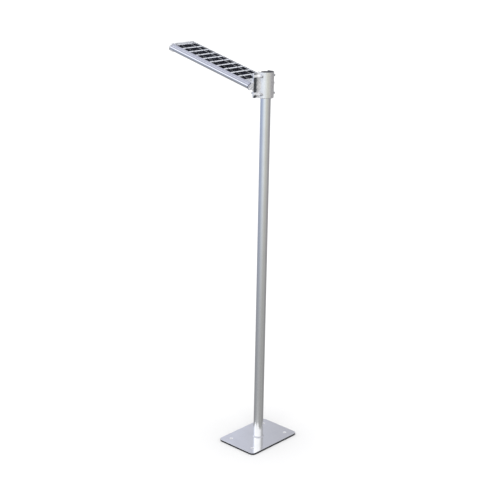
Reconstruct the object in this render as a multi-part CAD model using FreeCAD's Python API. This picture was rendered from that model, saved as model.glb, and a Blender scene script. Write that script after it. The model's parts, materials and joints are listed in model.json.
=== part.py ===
import FreeCAD, Part
import os, math
from FreeCAD import Vector as V

os.makedirs("parts", exist_ok=True)

# ---------------------------------------------------------------------------
# All-in-one solar street lamp, millimetres, +Z up.
# Origin: centre of the underside of the foot plate. The head points to -Y.
# ---------------------------------------------------------------------------

# foot plate
PLATE_X, PLATE_Y, PLATE_T = 414.0, 292.0, 12.0
PLATE_R = 28.0                 # plan radius of the corners
HOLE_DX, HOLE_DY, HOLE_R = 300.0, 180.0, 8.0
HOLE_SINK = 2.5               # depth of the 45 degree countersink

# pole
POLE_R, POLE_WALL = 30.0, 3.0
POLE_TOP = 2305.0
FIT = 0.3                      # clearance between pole and clamp saddles

# clamp
CLAMP_Z, CLAMP_H = 2235.0, 150.0
SHELL_R, SHELL_WALL = 46.0, 5.0
SHELL_FRONT = -25.5            # Y of the front edge of the rear half
FLANGE_Y0, FLANGE_Y1 = -36.0, -28.5
FLANGE_X = 73.0
FLANGE_TOP = 2303.0
BOLT_X, BOLT_DZ, BOLT_R = 52.0, 51.0, 4.0
BOLT_SEAT = 10.0               # Y of the bolt-head seat on the rear half

# head
TILT = 13.5                    # degrees above horizontal
HEAD_Z = 2241.5                # height of the glass plane on the pole axis
S_REAR, S_FRONT = 39.0, 697.0  # extrusion from rear to free end
CAP_T = 10.0
W2 = 108.6                     # half width of the extrusion
CELL_N, CELL_PITCH = 10, 58.9
CELL_W, CELL_L = 161.0, 45.0
CELL_S0 = 673.5                # outer edge of the first cell row
GLASS_X = 84.0
BUS_W = 6.0

# ---------------------------------------------------------------- helpers
def box(x0, x1, y0, y1, z0, z1):
    return Part.makeBox(x1 - x0, y1 - y0, z1 - z0, V(x0, y0, z0))

def cyl(r, h, p, d=(0, 0, 1)):
    return Part.makeCylinder(r, h, V(*p), V(*d))

def poly_face(pts):
    vs = [V(*p) for p in pts]
    return Part.Face(Part.makePolygon(vs + [vs[0]]))

def prism(pts, d):
    return poly_face(pts).extrude(V(*d))

def rrect(x, y, r, z0, z1, cx=0.0, cy=0.0):
    """rounded rectangle prism, full sizes x and y"""
    b = box(cx - x / 2, cx + x / 2, cy - y / 2, cy + y / 2, z0, z1)
    es = [e for e in b.Edges if abs(e.Vertexes[0].Z - e.Vertexes[1].Z) > 1e-6]
    return b.makeFillet(r, es)

def fuse(shapes):
    s = shapes[0]
    if len(shapes) > 1:
        s = s.multiFuse(shapes[1:])
    return s.removeSplitter()

def hexprism(af, h, p, axis="y", rot=0.0):
    """hexagon across flats af, extruded h along +axis from p"""
    r = af / math.sqrt(3.0)
    pts = []
    for i in range(6):
        a = math.radians(60 * i + 30 + rot)
        if axis == "y":
            pts.append((p[0] + r * math.cos(a), p[1], p[2] + r * math.sin(a)))
        else:
            pts.append((p[0] + r * math.cos(a), p[1] + r * math.sin(a), p[2]))
    d = (0, h, 0) if axis == "y" else (0, 0, h)
    return prism(pts, d)

def tube_path(pts, r):
    """round lead: cylinders with ball joints at the corners"""
    out = []
    for a, b in zip(pts[:-1], pts[1:]):
        d = V(*b) - V(*a)
        out.append(Part.makeCylinder(r, d.Length, V(*a), d))
    for p in pts[1:-1]:
        out.append(Part.makeSphere(r, V(*p)))
    return fuse(out)

def compound(ss):
    return Part.makeCompound(ss)

def export(name, shape):
    sol = shape.Solids
    assert sol, name
    for s in sol:
        assert s.isValid() and s.isClosed() and s.Volume > 0, name
    shape.exportStep("parts/%s.step" % name)
    bb = shape.BoundBox
    print("%-22s solids %3d  vol %9.1f cm3  z %7.1f..%7.1f" % (
        name, len(sol), sum(s.Volume for s in sol) / 1000.0, bb.ZMin, bb.ZMax))

# head frame: X across, local Y = -distance from the pole axis, local Z = height
# above the glass plane. H() puts a local shape in its place.
def H(shape):
    s = shape.copy()
    s.rotate(V(0, 0, 0), V(1, 0, 0), -TILT)
    s.translate(V(0, 0, HEAD_Z))
    return s

def hbox(x0, x1, s0, s1, n0, n1):
    """local box given by distance s from the pole axis"""
    return box(x0, x1, -s1, -s0, n0, n1)

# ================================================================ POST
plate = rrect(PLATE_X, PLATE_Y, PLATE_R, 0.0, PLATE_T)
top_edges = [e for e in plate.Edges if e.BoundBox.ZMin > PLATE_T - 1e-6]
plate = plate.makeChamfer(1.2, top_edges)
for sx in (-1, 1):
    for sy in (-1, 1):
        plate = plate.cut(cyl(HOLE_R, PLATE_T + 2, (sx * HOLE_DX / 2, sy * HOLE_DY / 2, -1)))
        cone = Part.makeCone(HOLE_R, HOLE_R + HOLE_SINK, HOLE_SINK, V(sx * HOLE_DX / 2, sy * HOLE_DY / 2, PLATE_T - HOLE_SINK))
        plate = plate.cut(cone)
export("base_plate", plate)

pole = cyl(POLE_R, POLE_TOP - PLATE_T, (0, 0, PLATE_T)).cut(
    cyl(POLE_R - POLE_WALL, POLE_TOP - PLATE_T + 2, (0, 0, PLATE_T - 1)))
export("pole_tube", pole)

weld_pts = [(POLE_R, 0, PLATE_T), (POLE_R + 4.6, 0, PLATE_T), (POLE_R + 4.2, 0, PLATE_T + 1.2),
            (POLE_R + 2.6, 0, PLATE_T + 3.0), (POLE_R + 1.1, 0, PLATE_T + 4.8), (POLE_R, 0, PLATE_T + 5.4)]
weld = poly_face(weld_pts).revolve(V(0, 0, 0), V(0, 0, 1), 360)
export("foot_weld", weld)

inner = POLE_R - POLE_WALL
cap = fuse([cyl(POLE_R - 0.2, 3.0, (0, 0, POLE_TOP)),
            cyl(inner - 0.1, 18.0, (0, 0, POLE_TOP - 18.0)).cut(cyl(inner - 2.6, 19.0, (0, 0, POLE_TOP - 18.5)))])
cap = cap.makeFillet(1.6, [e for e in cap.Edges if e.BoundBox.ZMin > POLE_TOP + 2.99])
export("pole_cap", cap)

# ================================================================ CLAMP
Z0, Z1 = CLAMP_Z - CLAMP_H / 2, CLAMP_Z + CLAMP_H / 2
bolts_at = [(sx * BOLT_X, CLAMP_Z + sz * BOLT_DZ) for sx in (-1, 1) for sz in (-1, 1)]

def u_solid(r, y0, z0, z1):
    """solid U outline: half disc behind, straight sides to y0"""
    return fuse([cyl(r, z1 - z0, (0, 0, z0)).common(box(-r - 1, r + 1, 0, r + 1, z0, z1)),
                 box(-r, r, y0, 0.0, z0, z1)])

shell = u_solid(SHELL_R, SHELL_FRONT, Z0, Z1)
# softened outer rims, top and bottom
rim = [e for e in shell.Edges if (abs(e.BoundBox.ZMin - Z0) < 1e-6 and e.BoundBox.ZMax < Z0 + 1e-6 and e.BoundBox.YMin > SHELL_FRONT - 1e-6 and e.BoundBox.YMax > SHELL_FRONT + 1)]
shell = shell.makeFillet(3.5, rim)
rim = [e for e in shell.Edges if (e.BoundBox.ZMin > Z1 - 1e-6 and e.BoundBox.YMax > SHELL_FRONT + 1)]
shell = shell.makeFillet(1.6, rim)
# bolt sleeves along the sides
for bx, bz in bolts_at:
    sl = cyl(8.4, BOLT_SEAT - SHELL_FRONT, (bx, SHELL_FRONT, bz), (0, 1, 0))
    shell = shell.fuse(sl)
shell = shell.removeSplitter()
hollow = u_solid(SHELL_R - SHELL_WALL, SHELL_FRONT - 1, Z0 - 1, Z1 + 1)
ribs = []
for sz in (-1, 1):
    zc = CLAMP_Z + sz * BOLT_DZ
    r_ = u_solid(SHELL_R - SHELL_WALL + 0.5, SHELL_FRONT, zc - 13, zc + 13)
    ribs.append(r_)
body = shell.cut(hollow.cut(ribs[0]).cut(ribs[1]))
body = body.cut(cyl(POLE_R + FIT, CLAMP_H + 2, (0, 0, Z0 - 1)))
body = body.cut(box(-POLE_R - FIT, POLE_R + FIT, SHELL_FRONT - 1, 0, Z0 - 1, Z1 + 1))
for bx, bz in bolts_at:
    body = body.cut(cyl(BOLT_R + 0.3, 80, (bx, SHELL_FRONT - 1, bz), (0, 1, 0)))
    body = body.cut(cyl(8.6, 60, (bx, BOLT_SEAT, bz), (0, 1, 0)))
body = body.removeSplitter()
export("clamp_rear_half", body)

# front half: tall flange, pole saddles, and the end plate that closes the head
flange = box(-FLANGE_X, FLANGE_X, FLANGE_Y0, FLANGE_Y1, Z0, FLANGE_TOP)
flange = flange.makeFillet(9.0, [e for e in flange.Edges if abs(e.Vertexes[0].Y - e.Vertexes[1].Y) > 1])
flange = flange.makeFillet(1.2, [e for e in flange.Edges if e.BoundBox.YMax > FLANGE_Y1 - 1e-6 and e.BoundBox.YMin > FLANGE_Y1 - 1e-6])

# head outline used for both end pieces (X, n)
def cap_outline(s, grow=0.0):
    g = grow
    half = [(0, 1.0 + g), (86.0, 1.0 + g), (88.6, 0.4 + g), (97.0 + g, -8.8 + g), (106.1 + g, -13.0 + g),
            (110.0 + g, -17.0), (111.2 + g, -21.5), (110.2 + g, -31.0), (108.4 + g, -36.2 - g),
            (103.6 + g, -40.5 - g), (0, -40.5 - g)]
    pts = half + [(-x, n) for x, n in reversed(half[1:-1])]
    return [(x, -s, n) for x, n in pts]

END_S0, END_S1 = 26.5, 32.0
endplate = prism(cap_outline(END_S1), (0, END_S1 - END_S0, 0))
endplate = endplate.common(fuse([rrect(2 * 111.5, 60.0, 5.0, -60, 20, 0, -(END_S0) - 30.0)]))
endplate = H(endplate).cut(box(-FLANGE_X - 1.0, FLANGE_X + 1.0, FLANGE_Y1, 20, Z0, Z1))
# rounded webs where the wide end plate runs into the tall flange
def web(sx, zt, r, up):
    x0 = sx * (FLANGE_X - 2)
    x1 = sx * (FLANGE_X + r)
    z_a, z_b = (zt - r, zt) if not up else (zt, zt + r)
    lo, hi = min(x0, x1), max(x0, x1)
    b = box(lo, hi, FLANGE_Y0 + 1.5, FLANGE_Y1 - 0.5, z_a, z_b)
    zc = z_a if not up else z_b
    return b.cut(cyl(r, 40, (sx * (FLANGE_X + r), FLANGE_Y0 - 10, zc), (0, 1, 0)))
webs = []
for sx in (-1, 1):
    webs.append(web(sx, 2216.0, 22.0, False))
    webs.append(web(sx, 2246.0, 12.0, True))
saddles = []
for sz in (-1, 1):
    zc = CLAMP_Z + sz * BOLT_DZ
    saddles.append(box(-27, 27, FLANGE_Y1 - 0.5, -14, zc - 13, zc + 13))
# raised pads that carry the bolt pull straight onto the sleeves of the rear half
for bx, bz in bolts_at:
    sg_ = 1 if bx > 0 else -1
    x0, x1 = sorted((bx, bx + sg_ * 17.0))
    pad = fuse([cyl(8.6, 2.6, (bx, FLANGE_Y1 - 0.1, bz), (0, 1, 0)),
                box(x0, x1, FLANGE_Y1 - 0.1, FLANGE_Y1 + 2.5, bz - 6.6, bz + 6.6)])
    webs.append(pad)
bracket = fuse([flange, endplate] + webs + saddles)
bracket = bracket.cut(cyl(POLE_R + FIT, CLAMP_H + 60, (0, 0, Z0 - 30)))
for bx, bz in bolts_at:
    bracket = bracket.cut(cyl(BOLT_R + 0.3, 50, (bx, -70, bz), (0, 1, 0)))
# clearance holes for the four screws that pull the end plate on
END_SCREWS = [(88.4, -7.4), (92.6, -30.4), (-88.4, -7.4), (-92.6, -30.4)]
for x, n in END_SCREWS:
    bracket = bracket.cut(H(cyl(2.2, 30, (x, -END_S1 - 2, n), (0, 1, 0))))
    bracket = bracket.cut(H(cyl(4.2, 30, (x, -END_S0, n), (0, 1, 0))))   # room for the head and a key
bracket = bracket.removeSplitter()
export("clamp_bracket", bracket)

strips = []
for sx in (-1, 1):
    lo, hi = sorted((sx * 53.0, sx * (FLANGE_X - 0.8)))
    b = box(lo, hi, FLANGE_Y1, FLANGE_Y1 + 2.5, Z0 + 1.5, FLANGE_TOP - 1.5)
    for bx, bz in bolts_at:
        b = b.cut(box(min(0, bx * 2), max(0, bx * 2), -50, 0, bz - 9.0, bz + 9.0))
    # saw-tooth relief on the visible edge
    for i in range(9):
        zc = Z0 + 15 + i * 15.0
        if abs(abs(zc - CLAMP_Z) - BOLT_DZ) > 12.5:
            b = b.cut(box(min(sx * 70.4, sx * 73), max(sx * 70.4, sx * 73), FLANGE_Y1 + 1.0, FLANGE_Y1 + 3, zc - 2, zc + 2))
    strips.append(b)
export("clamp_gasket_strips", compound([s for b in strips for s in b.Solids]))

bolt_solids, washers_rear, washers_front, nut_solids = [], [], [], []
BOLT_END = -63.5
for bx, bz in bolts_at:
    head = cyl(6.5, 8.0, (bx, BOLT_SEAT + 1.6, bz), (0, 1, 0))
    head = head.makeChamfer(0.7, [e for e in head.Edges if e.BoundBox.YMin > BOLT_SEAT + 9.5])
    head = head.cut(hexprism(6.0, 4.2, (bx, BOLT_SEAT + 5.6, bz)))
    shank = cyl(BOLT_R, BOLT_SEAT + 1.6 - BOLT_END - 1.0, (bx, BOLT_END + 1.0, bz), (0, 1, 0))
    tip = Part.makeCone(BOLT_R - 0.9, BOLT_R, 1.0, V(bx, BOLT_END, bz), V(0, 1, 0))
    bolt_solids.append(fuse([head, shank, tip]))
    for y in (BOLT_SEAT, FLANGE_Y0 - 1.6):
        w = cyl(8.0, 1.6, (bx, y, bz), (0, 1, 0)).cut(cyl(BOLT_R + 0.2, 4, (bx, y - 1, bz), (0, 1, 0)))
        (washers_rear if y > 0 else washers_front).append(w)
    y = FLANGE_Y0 - 1.6 - 6.8
    n_ = hexprism(13.0, 6.8, (bx, y, bz))
    n_ = n_.common(Part.makeCone(6.4, 9.4, 3.0, V(bx, y, bz), V(0, 1, 0)).fuse(cyl(9.4, 3.8, (bx, y + 3.0, bz), (0, 1, 0))))
    n_ = n_.cut(cyl(BOLT_R + 0.05, 20, (bx, y - 5, bz), (0, 1, 0)))
    nut_solids.append(n_)
export("clamp_bolts", compound(bolt_solids))
export("clamp_washers_rear", compound(washers_rear))
export("clamp_washers_front", compound(washers_front))
export("clamp_nuts", compound(nut_solids))

# ================================================================ HEAD
LED_S0, LED_S1 = 372.0, 684.0        # lens plate
SVC_S0, SVC_S1 = 56.0, 368.0         # service cover
PIR_S = 338.0
SW_S = 92.0
SW_X = 0.0

def mirror_poly(half):
    return half + [(-x, n) for x, n in reversed(half) if abs(x) > 1e-9]

def arc_pts(cx, cn, r, a0, a1, k):
    return [(cx + r * math.cos(math.radians(a0 + (a1 - a0) * i / k)),
             cn + r * math.sin(math.radians(a0 + (a1 - a0) * i / k))) for i in range(k + 1)]

# side rail: a convex roll from the groove under the shoulder round to the skirt
rail = arc_pts(97.2, -21.0, 11.4, 96.0, 4.0, 9)
half = [(0, -5.0), (GLASS_X + 0.4, -5.0), (GLASS_X + 0.4, 0.35), (87.0, 0.35), (94.6, -8.4), (94.6, -10.2)]
half += rail
half += [(108.0, -24.5), (106.4, -33.2), (101.6, -36.5), (70.5, -36.5), (68.0, -34.0), (56.0, -34.0), (56.0, -31.0), (0, -31.0)]
outline = [(x, n) for x, n in half]
outline = mirror_poly(outline[:-1] + [half[-1]])
def face_xn(pts, s):
    return poly_face([(x, -s, n) for x, n in pts])
L = S_FRONT - S_REAR
body = face_xn(outline, S_FRONT).extrude(V(0, L, 0))
# cavities run the full length of the extrusion
main_cav = hbox(-70, 70, S_REAR - 1, S_FRONT + 1, -28.0, -8.0)
body = body.cut(main_cav)
for sx in (-1, 1):
    ch = [(73.0, -12.5), (95.0, -12.5), (101.6, -14.2), (105.6, -20.5), (103.8, -31.0), (100.4, -33.8), (73.0, -33.8)]
    pr = face_xn([(sx * x, n) for x, n in ch], S_FRONT + 1).extrude(V(0, L + 2, 0))
    port = cyl(3.7, L + 2, (sx * 92.6, -S_FRONT - 1, -30.4), (0, 1, 0))
    pr = pr.cut(port)
    body = body.cut(pr)
    body = body.cut(cyl(1.7, L + 2, (sx * 92.6, -S_FRONT - 1, -30.4), (0, 1, 0)))
    body = body.cut(cyl(1.7, L + 2, (sx * 88.4, -S_FRONT - 1, -7.4), (0, 1, 0)))
# openings for leads, sensor and switch through the walls
PANEL_S = 105.0
body = body.cut(cyl(5.0, 8, (0, -PANEL_S, -10), (0, 0, 1)))
body = body.cut(cyl(10.2, 8, (SW_X, -SW_S, -34.5), (0, 0, 1)))
body = body.cut(cyl(4.0, 8, (0, -PIR_S, -34.5), (0, 0, 1)))
body = body.cut(cyl(4.0, 8, (0, -(LED_S0 + 14), -34.5), (0, 0, 1)))
body = body.cut(cyl(3.0, 8, (30, -SW_S, -34.5), (0, 0, 1)))
body = body.cut(cyl(4.2, 8, (-30, -SW_S, -34.5), (0, 0, 1)))
# screw pilot holes along both bottom ledges
LENS_SCREWS = [(sx * 60.0, s) for sx in (-1, 1) for s in (384.0, 446.0, 528.0, 610.0, 672.0)]
SVC_SCREWS = [(sx * 60.0, s) for sx in (-1, 1) for s in (68.0, 162.0, 262.0, 356.0)]
for x, s in LENS_SCREWS + SVC_SCREWS:
    body = body.cut(cyl(1.25, 5.0, (x, -s, -35.0), (0, 0, 1)))
body = body.removeSplitter()
export("head_housing", H(body))

# free-end cap: plate with a lip that runs back under the extrusion
F0 = S_FRONT + 2.0                  # gasket thickness 2
cap_f = prism(cap_outline(F0 + CAP_T), (0, CAP_T, 0))
round_ = rrect(2 * 111.5, 80.0, 14.0, -60, 20, 0, -(F0 + CAP_T) + 40.0)
cap_f = cap_f.common(round_)
lip = prism([(x, -F0 - 1, n) for x, n in [(-109.6, -33.9), (-108.4, -36.2), (-103.6, -40.5), (103.6, -40.5), (108.4, -36.2), (109.6, -33.9),
            (106.9, -33.9), (101.8, -36.9), (-101.8, -36.9), (-106.9, -33.9)]], (0, 12.0, 0))
ears = []
for sx in (-1, 1):
    ear = prism([(sx * x, -F0 - 1, n) for x, n in [(76.0, -36.9), (101.8, -36.9), (106.9, -33.9), (109.6, -33.9), (108.4, -36.2), (103.6, -40.5), (76.0, -40.5)]],
                (0, 27.0, 0))
    ears.append(ear)
cap_f = fuse([cap_f, lip] + ears)
for x, n in END_SCREWS:
    cap_f = cap_f.cut(cyl(2.2, 30, (x, -F0 - CAP_T - 5, n), (0, 1, 0)))
    cap_f = cap_f.cut(cyl(4.2, 5, (x, -F0 - CAP_T - 1, n), (0, 1, 0)))
export("front_end_cap", H(cap_f.removeSplitter()))

def end_gasket(s0, t, inset):
    half_g = [(0, -5.6), (83.4, -5.6), (84.8, -1.2), (86.8, -1.0 ), (94.4, -9.8), (103.4, -13.4), (107.2, -20.0),
              (106.0, -31.0), (104.0, -34.0), (101.0, -35.8), (70.9, -35.8), (68.3, -33.2), (56.8, -33.2), (56.8, -30.2), (0, -30.2)]
    g = prism([(x, -s0 - t, n) for x, n in mirror_poly(half_g)], (0, t, 0))
    g = g.cut(hbox(-68, 68, s0 - 1, s0 + t + 1, -26.5, -9.5))
    for x, n in END_SCREWS:
        g = g.cut(cyl(2.3, t + 2, (x, -s0 - t - 1, n), (0, 1, 0)))
    return g
export("front_end_gasket", H(end_gasket(S_FRONT, 2.0, 0)))
rg = end_gasket(END_S1, S_REAR - END_S1, 0)
# the spacer stands back under the side rolls, so a dark groove shows round the joint
keep = [(0, 0), (86.8, 0), (94.4, -9.8), (100.6, -14.0), (103.4, -19.5), (102.8, -31.0), (101.0, -34.2), (97.0, -36.5), (0, -36.5)]
rg = rg.common(prism([(x, -S_REAR - 1, n) for x, n in mirror_poly(keep)], (0, S_REAR - END_S1 + 2, 0)))
export("rear_end_gasket", H(rg).cut(box(-FLANGE_X - 13.0, FLANGE_X + 13.0, FLANGE_Y0, 0, 2243.0, Z1)).cut(
    box(-FLANGE_X, FLANGE_X, FLANGE_Y0, 0, Z0, 2244.0)))

fs, rs = [], []
for x, n in END_SCREWS:
    y_out = -F0 - CAP_T
    h_ = cyl(3.6, 2.6, (x, y_out + 1.4, n), (0, 1, 0)).cut(hexprism(2.5, 1.6, (x, y_out + 1.0, n)))
    fs.append(fuse([h_, cyl(1.95, 7.6, (x, y_out + 4.0, n), (0, 1, 0)), cyl(1.7, 10.0, (x, y_out + 11.6, n), (0, 1, 0))]))
    y_in = -END_S0 + (0.0)
    h2 = cyl(3.6, 2.6, (x, y_in, n), (0, 1, 0)).cut(hexprism(2.5, 1.6, (x, y_in + 1.4, n)))
    grip = S_REAR - END_S0 - 0.5
    rs.append(fuse([h2, cyl(1.95, grip, (x, y_in - grip, n), (0, 1, 0)),
                    cyl(1.7, 10.0, (x, y_in - grip - 10.0, n), (0, 1, 0))]))
export("front_cap_screws", H(compound(fs)))
export("rear_cap_screws", H(compound(rs)))

# ---------------------------------------------------------------- panel
G0, G1 = S_REAR + 2.0, S_FRONT - 1.0
adhesive = hbox(-GLASS_X, GLASS_X, G0, G1, -5.0, -4.4).cut(cyl(5.4, 4, (0, -PANEL_S, -6), (0, 0, 1)))
export("panel_adhesive", H(adhesive))
back = hbox(-GLASS_X, GLASS_X, G0, G1, -4.4, -3.6).cut(cyl(2.6, 4, (0, -PANEL_S, -6), (0, 0, 1)))
export("panel_backsheet", H(back))
cells = []
for i in range(CELL_N):
    s1 = CELL_S0 - i * CELL_PITCH
    c = hbox(-CELL_W / 2, CELL_W / 2, s1 - CELL_L, s1, -3.6, -3.3)
    cells.append(c)
export("solar_cells", H(compound(cells)))
CELL_S9 = CELL_S0 - (CELL_N - 1) * CELL_PITCH - CELL_L     # inner edge of the last row
bus = []
for bx in (-CELL_W / 4, CELL_W / 4):
    bus.append(hbox(bx - BUS_W / 2, bx + BUS_W / 2, CELL_S9 - 4, CELL_S0 + 4, -3.3, -3.1))
export("cell_busbars", H(compound(bus)))
glass = hbox(-GLASS_X, GLASS_X, G0, G1, -3.6, 0.0)
glass = glass.cut(hbox(-CELL_W / 2, CELL_W / 2, CELL_S9, CELL_S0, -4, -3.3))
for bx in (-CELL_W / 4, CELL_W / 4):
    glass = glass.cut(hbox(bx - BUS_W / 2, bx + BUS_W / 2, CELL_S9 - 4, CELL_S0 + 4, -4, -3.1))
glass = glass.makeChamfer(0.4, [e for e in glass.Edges if e.BoundBox.ZMin > -1e-6 and e.BoundBox.ZMax < 1e-6])
export("solar_glass", H(glass.removeSplitter()))

# ---------------------------------------------------------------- battery
BATT_R, BATT_L, BATT_P = 9.2, 65.0, 19.4
rows = 9
b_s = [132.0 + i * BATT_P for i in range(rows)]
BN = -18.0
cellsb, tabs = [], []
for s in b_s:
    for sx in (-1, 1):
        x0 = 2.6 if sx > 0 else -2.6 - BATT_L
        can = cyl(BATT_R, BATT_L - 1.0, (x0 if sx > 0 else x0 + 1.0, -s, BN), (1, 0, 0))
        tip_x = x0 + BATT_L - 1.0 if sx > 0 else x0
        tip = cyl(3.2, 1.0, (tip_x, -s, BN), (1, 0, 0))
        cellsb.append(fuse([can, tip]))
export("battery_cells", H(compound(cellsb)))
hold = []
for xa, xb in ((10, 15), (54, 59), (-15, -10), (-59, -54)):
    h_ = hbox(xa, xb, b_s[0] - 12, b_s[-1] + 12, -27.9, -8.1)
    for s in b_s:
        h_ = h_.cut(cyl(BATT_R + 0.05, 10, (xa - 2, -s, BN), (1, 0, 0)))
    hold.append(h_)
export("battery_holders", H(compound([q for h_ in hold for q in h_.Solids])))
for x in (67.6, -67.9):
    tabs.append(hbox(x, x + 0.3, b_s[0] - 6, b_s[-1] + 6, BN - 3.5, BN + 3.5))
for x in (2.3, -2.6):
    tabs.append(hbox(x, x + 0.3, b_s[0] - 6, b_s[-1] + 6, BN - 3.5, BN + 3.5))
export("battery_straps", H(compound(tabs)))

# ---------------------------------------------------------------- controller
C0, C1 = 408.0, 500.0
pcb = hbox(-55, 55, C0, C1, -23.6, -22.0)
c_holes = [(x, s) for x in (-49, 49) for s in (C0 + 6, C1 - 6)]
for x, s in c_holes:
    pcb = pcb.cut(cyl(1.7, 4, (x, -s, -25), (0, 0, 1)))
export("controller_board", H(pcb))
parts_c = []
coil = cyl(9, 8, (-22, -(C0 + 30), -22.0), (0, 0, 1)).cut(cyl(3.4, 7.0, (-22, -(C0 + 30), -20.9), (0, 0, 1)))
parts_c.append(coil)
for x in (4, 18):
    parts_c.append(cyl(5, 11.5, (x, -(C0 + 28), -22.0), (0, 0, 1)))
for i in range(3):
    parts_c.append(hbox(-44 + i * 14, -34 + i * 14, C0 + 58, C0 + 67, -22.0, -17.6))
parts_c.append(hbox(8, 20, C0 + 56, C0 + 68, -22.0, -20.4))
for i in range(3):
    parts_c.append(hbox(30, 42, C0 + 18 + i * 20, C0 + 32 + i * 20, -22.0, -13.5))
export("controller_parts", H(compound(parts_c)))
c_sp, c_sc = [], []
for x, s in c_holes:
    c_sp.append(cyl(3.2, 4.4, (x, -s, -28.0), (0, 0, 1)).cut(cyl(1.5, 6, (x, -s, -29), (0, 0, 1))))
    c_sc.append(fuse([cyl(1.5, 5.8, (x, -s, -27.8), (0, 0, 1)), cyl(2.8, 2.0, (x, -s, -22.0), (0, 0, 1))]))
export("controller_standoffs", H(compound(c_sp)))
export("controller_screws", H(compound(c_sc)))

# ---------------------------------------------------------------- light engine
led_pcb = hbox(-54, 54, LED_S0 + 6, LED_S1 - 6, -32.6, -31.0)
led_pcb = led_pcb.cut(cyl(4.0, 4, (0, -(LED_S0 + 14), -33.5), (0, 0, 1)))
export("led_board", H(led_pcb))
led_pos = [(x, s) for x in (-36.0, -12.0, 12.0, 36.0) for s in [LED_S0 + 34 + 27.0 * i for i in range(10)]]
leds = []
for x, s in led_pos:
    leds.append(fuse([hbox(x - 2.5, x + 2.5, s - 2.5, s + 2.5, -33.2, -32.6),
                      cyl(1.7, 0.5, (x, -s, -33.7), (0, 0, 1))]))
export("led_packages", H(compound(leds)))
lg = hbox(-64, 64, LED_S0, LED_S1, -35.0, -34.0).cut(hbox(-57, 57, LED_S0 + 7, LED_S1 - 7, -36, -33))
for x, s in LENS_SCREWS:
    lg = lg.cut(cyl(1.8, 4, (x, -s, -36), (0, 0, 1)))
lens_recess_fill = hbox(-55.9, 55.9, LED_S0, LED_S0 + 5, -34.0, -31.1)
lens_recess_fill2 = hbox(-55.9, 55.9, LED_S1 - 5, LED_S1, -34.0, -31.1)
lg = fuse([lg, lens_recess_fill, lens_recess_fill2])
export("lens_gasket", H(lg))
lens = rrect(128.0, LED_S1 - LED_S0, 5.0, -37.4, -35.0, 0, -(LED_S0 + LED_S1) / 2)
domes = []
for x, s in led_pos:
    sph = Part.makeSphere(8.6, V(x, -s, -33.6)).common(box(x - 10, x + 10, -s - 10, -s + 10, -45, -37.0))
    domes.append(sph)
lens = fuse([lens] + domes)
for x, s in led_pos:
    lens = lens.cut(Part.makeSphere(3.4, V(x, -s, -34.4)))
for x, s in LENS_SCREWS:
    lens = lens.cut(cyl(1.8, 4, (x, -s, -38), (0, 0, 1)))
export("led_lens_plate", H(lens.removeSplitter()))

def pan_screws(pos, n_head, length):
    out = []
    for x, s in pos:
        hd = cyl(2.8, 2.0, (x, -s, n_head - 2.0), (0, 0, 1))
        hd = hd.makeFillet(0.8, [e for e in hd.Edges if e.BoundBox.ZMax < n_head - 1.99])
        hd = hd.cut(hexprism(2.0, 1.1, (x, -s, n_head - 2.05), "z"))
        out.append(fuse([hd, cyl(1.25, length, (x, -s, n_head), (0, 0, 1))]))
    return compound(out)
export("lens_screws", H(pan_screws(LENS_SCREWS, -37.4, 6.6)))

# ---------------------------------------------------------------- service cover
cov = rrect(128.0, SVC_S1 - SVC_S0, 5.0, -37.0, -35.0, 0, -(SVC_S0 + SVC_S1) / 2)
cov = cov.makeFillet(1.0, [e for e in cov.Edges if e.BoundBox.ZMax < -36.99])
cov = cov.cut(cyl(8.1, 6, (SW_X, -SW_S, -39), (0, 0, 1)))
cov = cov.cut(cyl(10.2, 6, (0, -PIR_S, -39), (0, 0, 1)))
cov = cov.cut(cyl(2.6, 6, (30, -SW_S, -39), (0, 0, 1)))
cov = cov.cut(cyl(4.1, 6, (-30, -SW_S, -39), (0, 0, 1)))
for x, s in SVC_SCREWS:
    cov = cov.cut(cyl(1.8, 6, (x, -s, -39), (0, 0, 1)))
export("service_cover", H(cov))
sg = hbox(-64, 64, SVC_S0, SVC_S1, -35.0, -34.0).cut(hbox(-57, 57, SVC_S0 + 7, SVC_S1 - 7, -36, -33))
for x, s in SVC_SCREWS:
    sg = sg.cut(cyl(1.8, 4, (x, -s, -36), (0, 0, 1)))
sg = fuse([sg, hbox(-55.9, 55.9, SVC_S0, SVC_S0 + 5, -34.0, -31.1), hbox(-55.9, 55.9, SVC_S1 - 5, SVC_S1, -34.0, -31.1)])
export("service_gasket", H(sg))
export("service_screws", H(pan_screws(SVC_SCREWS, -37.0, 6.2)))

# motion sensor
dome = fuse([Part.makeSphere(10.0, V(0, -PIR_S, -37.0)).common(box(-12, 12, -PIR_S - 12, -PIR_S + 12, -50, -37.0)),
             cyl(10.0, 2.6, (0, -PIR_S, -37.0), (0, 0, 1)), cyl(13.0, 0.9, (0, -PIR_S, -34.9), (0, 0, 1))])
dome = dome.cut(fuse([Part.makeSphere(9.0, V(0, -PIR_S, -37.0)), cyl(9.0, 6.0, (0, -PIR_S, -37.0), (0, 0, 1))]))
export("pir_dome", H(dome.removeSplitter()))
pb = cyl(12.6, 1.4, (0, -PIR_S, -33.0), (0, 0, 1)).cut(cyl(1.6, 4, (7.0, -PIR_S, -34), (0, 0, 1)))
export("pir_board", H(pb))
can = fuse([cyl(4.1, 3.6, (0, -PIR_S, -36.6), (0, 0, 1)), cyl(4.6, 0.4, (0, -PIR_S, -33.4), (0, 0, 1))])
export("pir_sensor", H(can))

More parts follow.
